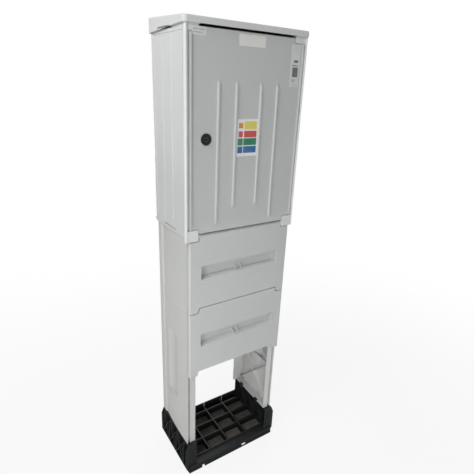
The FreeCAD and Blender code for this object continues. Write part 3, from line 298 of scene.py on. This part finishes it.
instructionFields = [(0.08, 0.28, 0.76, 0.90, "amber"), (0.34, 0.95, 0.73, 0.94, "yellow"),
                     (0.08, 0.28, 0.52, 0.68, "red"), (0.34, 0.95, 0.51, 0.69, "red"),
                     (0.05, 0.29, 0.30, 0.49, "green"), (0.32, 0.95, 0.30, 0.49, "green"),
                     (0.05, 0.29, 0.09, 0.275, "blue"), (0.32, 0.95, 0.09, 0.275, "blue")]
stripFields = [(0.30, 0.75, 0.86, 0.87, "pale"), (0.30, 0.75, 0.92, 0.93, "pale"),
               (0.35, 0.80, 0.58, 0.64, "grey"), (0.20, 0.85, 0.50, 0.52, "grey"),
               (0.25, 0.85, 0.24, 0.47, "grey"), (0.20, 0.60, 0.12, 0.19, "pale"),
               (0.20, 0.80, 0.05, 0.06, "pale")]
stickerFields = [(0.10, 0.42, 0.60, 0.75, "pale"), (0.50, 0.90, 0.60, 0.75, "pale"),
                 (0.10, 0.75, 0.25, 0.38, "pale")]


def filmSheet(name, node, **changes):
    v = {**filmBase, **changes}
    material, place = newMaterial(name, {"Coat Weight": v["coat"], "Coat Roughness": v["coatRoughness"]})
    low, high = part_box(node)
    x, y, z = axesOf(place)
    across = (x - low[0]) / (high[0] - low[0])
    up = (z - low[2]) / (high[2] - low[2])
    ripple = noiseAt(place, *v["ripple"])
    speck = patches(place, *v["speck"])
    edge = edgeMask(place, v["edgeRadius"])[0]
    colour = v["tone"]
    for left, right, foot, head, ink in v["fields"]:
        inside = (across > left) * (across < right) * (up > foot) * (up < head)
        colour = mixColour(inside * (1 - speck * v["speckLoss"]), colour, inks[ink])
    soiled = ripple.rise(v["rippleFrom"], v["rippleTo"]) * v["rippleSoil"] + speck * v["speckSoil"]
    colour = mixColour((soiled + edge * v["edgeSoil"]).clamp(), colour, v["soil"])
    roughness = v["roughness"] + ripple * v["rippleRough"]
    bump = bumped(ripple, v["rippleStrength"], v["rippleDepth"])
    return feed(material, {"Base Color": colour, "Roughness": roughness, "Normal": bump})


# Every finish: what makes it, what differs from its base, and the nodes that it dresses
finishes = {
    "roofGrp": (mouldedGrp, {"tone": (0.62, 0.63, 0.625), "edgeWearAndHighlight": 0.35}, ["roof_cap", "roof_brackets"]),
    "wallGrp": (mouldedGrp, {}, ["left_side_wall", "right_side_wall", "rear_wall", "floor_frame"]),
    # The frame's paler tone and strongly paler edges are a painted highlight on its beads
    "frameGrp": (mouldedGrp, {"tone": (0.70, 0.71, 0.705), "paler": (0.88, 0.89, 0.88), "edgeWearAndHighlight": 0.9,
                              "edgeRadius": 0.002}, ["door_frame"]),
    "doorGrp": (mouldedGrp, {"tone": (0.51, 0.525, 0.52), "paler": (0.58, 0.59, 0.58)}, ["door"]),
    # The covers carry the painted light on their upward faces
    "coverGrp": (mouldedGrp, {"tone": (0.555, 0.57, 0.57), "paler": (0.63, 0.64, 0.63), "ledge": 0.9},
                 ["upper_front_cover", "lower_front_cover", "upper_rear_panel", "lower_rear_panel"]),
    # The two legs are one moulding: the left copy's darker tone is painted shade, the right copy's paler tone
    # is painted light on its lit inner face
    "leftLegGrp": (mouldedGrp, {"tone": (0.565, 0.57, 0.555), "paler": (0.70, 0.71, 0.69), "edgeWearAndHighlight": 0.7,
                                "mottle": (3.0, 5.0, 0.3, 0.7)}, ["left_leg"]),
    "rightLegGrp": (mouldedGrp, {"tone": (0.65, 0.66, 0.65), "paler": (0.76, 0.77, 0.75), "edgeWearAndHighlight": 0.7,
                                 "mottle": (3.0, 5.0, 0.3, 0.7)}, ["right_leg"]),
    "boardGrp": (mouldedGrp, {"tone": (0.45, 0.455, 0.455), "paler": (0.52, 0.52, 0.52)}, ["meter_plate"]),
    "trayBlack": (blackMoulding, {}, ["base_tray"]),
    "fittingBlack": (blackMoulding, {"dusty": 0.03, "edgeRadius": 0.0006},
                     ["lock_body", "lock_nut", "pivot_washer", "rod_guides"]),
    "screwZinc": (zincPlate, {}, ["rear_panel_screws", "leg_bolts", "leg_nuts", "roof_screws", "plate_screws",
                                  "cable_rail_screws"]),
    "rodZinc": (zincPlate, {"grain": (400.0, 400.0, 12.0)},
                ["upper_lock_rod", "lower_lock_rod", "lower_hinge_pin", "upper_hinge_pin"]),
    "railZinc": (zincPlate, {"grain": (12.0, 400.0, 400.0)}, ["cable_rail"]),
    "barrelCast": (dieCast, {}, ["lock_barrel", "lock_cam"]),
    "sealFoam": (foamRubber, {}, ["door_seal"]),
    "instructionFilm": (filmSheet, {"node": "instruction_label", "fields": instructionFields},
                        ["instruction_label"]),
    "plateCream": (filmSheet, {"node": "name_plate", "tone": (0.74, 0.73, 0.70)}, ["name_plate"]),
    "stickerFilm": (filmSheet, {"node": "corner_sticker", "tone": (0.66, 0.68, 0.66),
                                "fields": stickerFields}, ["corner_sticker"]),
    "stripFilm": (filmSheet, {"node": "strip_label", "tone": (0.61, 0.62, 0.615), "fields": stripFields,
                              "roughness": 0.25}, ["strip_label"]),
}

for finish, (maker, changes, names) in finishes.items():
    made = maker(finish, **changes)
    for nodeName in names:
        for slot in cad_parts[nodeName].material_slots:
            slot.material = made
print("finishes assigned:", len(finishes))


# Studio: pale floor, soft lights and a white surround that only the camera and reflections see.
# The floor glows for the camera alone, by the glow's share near the object and fully past the fade.
studio = {"floorSize": 30.0, "floorTone": (0.80, 0.80, 0.80), "floorDull": (0.75, 0.75, 0.75),
          "dullPatch": (2.0, 2.0, 0.3, 0.7), "dullShare": 0.05,
          "glow": 0.86, "fadeStart": 0.6, "fadeEnd": 2.4, "world": 0.14, "worldTone": (0.96, 0.985, 1.0)}
lamps = {
    "keyLeft": {"place": (-1.7, -0.3, 2.8), "aim": (0.0, 0.0, 1.1), "size": 1.0, "watts": 27.0},
    "keyFront": {"place": (-1.6, -1.3, 2.4), "aim": (0.0, 0.0, 0.8), "size": 0.6, "watts": 14.0},
    "lowLeft": {"place": (-1.9, -1.7, 0.5), "aim": (0.0, 0.0, 0.5), "size": 0.5, "watts": 11.5},
    "lowFront": {"place": (-0.5, -1.6, 0.5), "aim": (0.1, 0.0, 0.5), "size": 0.8, "watts": 7.0},
    "backRight": {"place": (2.0, 2.0, 1.2), "aim": (0.0, 0.0, 0.8), "size": 1.4, "watts": 34.0},
    "backLow": {"place": (-0.1, 2.4, 0.9), "aim": (0.0, 0.0, 0.7), "size": 0.5, "watts": 14.0},
}
view = {"place": (-0.6741, -1.1019, 1.3513), "aim": (-0.0180, -0.1183, 0.9072), "roll": 2.48, "lens": 30.5,
        "sensor": 36.0}


def aimed(obj, place, aim, roll=0.0):
    turn = (Vector(aim) - Vector(place)).to_track_quat("-Z", "Y").to_matrix().to_4x4()
    obj.matrix_world = Matrix.Translation(place) @ turn @ Matrix.Rotation(math.radians(roll), 4, "Z")


def rayIs(tree, kind):
    return Shade(tree, tree.nodes.new("ShaderNodeLightPath").outputs["Is " + kind + " Ray"])


def makeFloor():
    bpy.ops.mesh.primitive_plane_add(size=studio["floorSize"], location=(0, 0, 0))
    floor = bpy.context.object
    floor.name = "studioFloor"
    material, place = newMaterial("floorPale", {"Roughness": 0.9, "Specular IOR Level": 0.1})
    dull = patches(place, *studio["dullPatch"]) * studio["dullShare"]
    feed(material, {"Base Color": mixColour(dull, studio["floorTone"], studio["floorDull"])})
    tree = material.node_tree
    shaded = Shade(tree, tree.nodes["Principled BSDF"].outputs[0])
    glow = place.node("ShaderNodeEmission", None, {"Color": (1, 1, 1, 1), "Strength": 1.0})
    x, y, z = axesOf(place)
    away = ((x * x + y * y) ** 0.5).rise(studio["fadeStart"], studio["fadeEnd"])
    white = rayIs(tree, "Camera") * (studio["glow"] + away * (1 - studio["glow"]))
    mixed = place.node("ShaderNodeMixShader", None, {0: white, 1: shaded, 2: glow})
    tree.links.new(mixed.socket, tree.nodes["Material Output"].inputs["Surface"])
    floor.data.materials.append(material)


def makeWorld():
    world = bpy.data.worlds.new("studioWorld")
    bpy.context.scene.world = world
    world.use_nodes = True
    tree = world.node_tree
    tree.nodes.clear()
    seenBy = (rayIs(tree, "Camera") + rayIs(tree, "Glossy") + rayIs(tree, "Transmission")).clamp()
    seen = seenBy.node("ShaderNodeBackground", None, {"Color": (1, 1, 1, 1), "Strength": 1.0})
    unseen = seenBy.node("ShaderNodeBackground", None,
                         {"Color": (*studio["worldTone"], 1), "Strength": studio["world"]})
    mixed = seenBy.node("ShaderNodeMixShader", None, {0: seenBy, 1: unseen, 2: seen})
    output = tree.nodes.new("ShaderNodeOutputWorld")
    tree.links.new(mixed.socket, output.inputs["Surface"])


def makeLamps():
    for name, v in lamps.items():
        bpy.ops.object.light_add(type="AREA", location=v["place"])
        lamp = bpy.context.object
        lamp.name = name
        lamp.data.size = v["size"]
        lamp.data.energy = v["watts"]
        aimed(lamp, v["place"], v["aim"])


def makeCamera():
    bpy.ops.object.camera_add()
    camera = bpy.context.object
    camera.name = "studioCamera"
    camera.data.lens = view["lens"]
    camera.data.sensor_width = view["sensor"]
    aimed(camera, view["place"], view["aim"], view["roll"])
    bpy.context.scene.camera = camera


makeFloor()
makeWorld()
makeLamps()
makeCamera()
bpy.context.scene.view_settings.view_transform = "Standard"
print("studio ready:", len(lamps), "lamps")
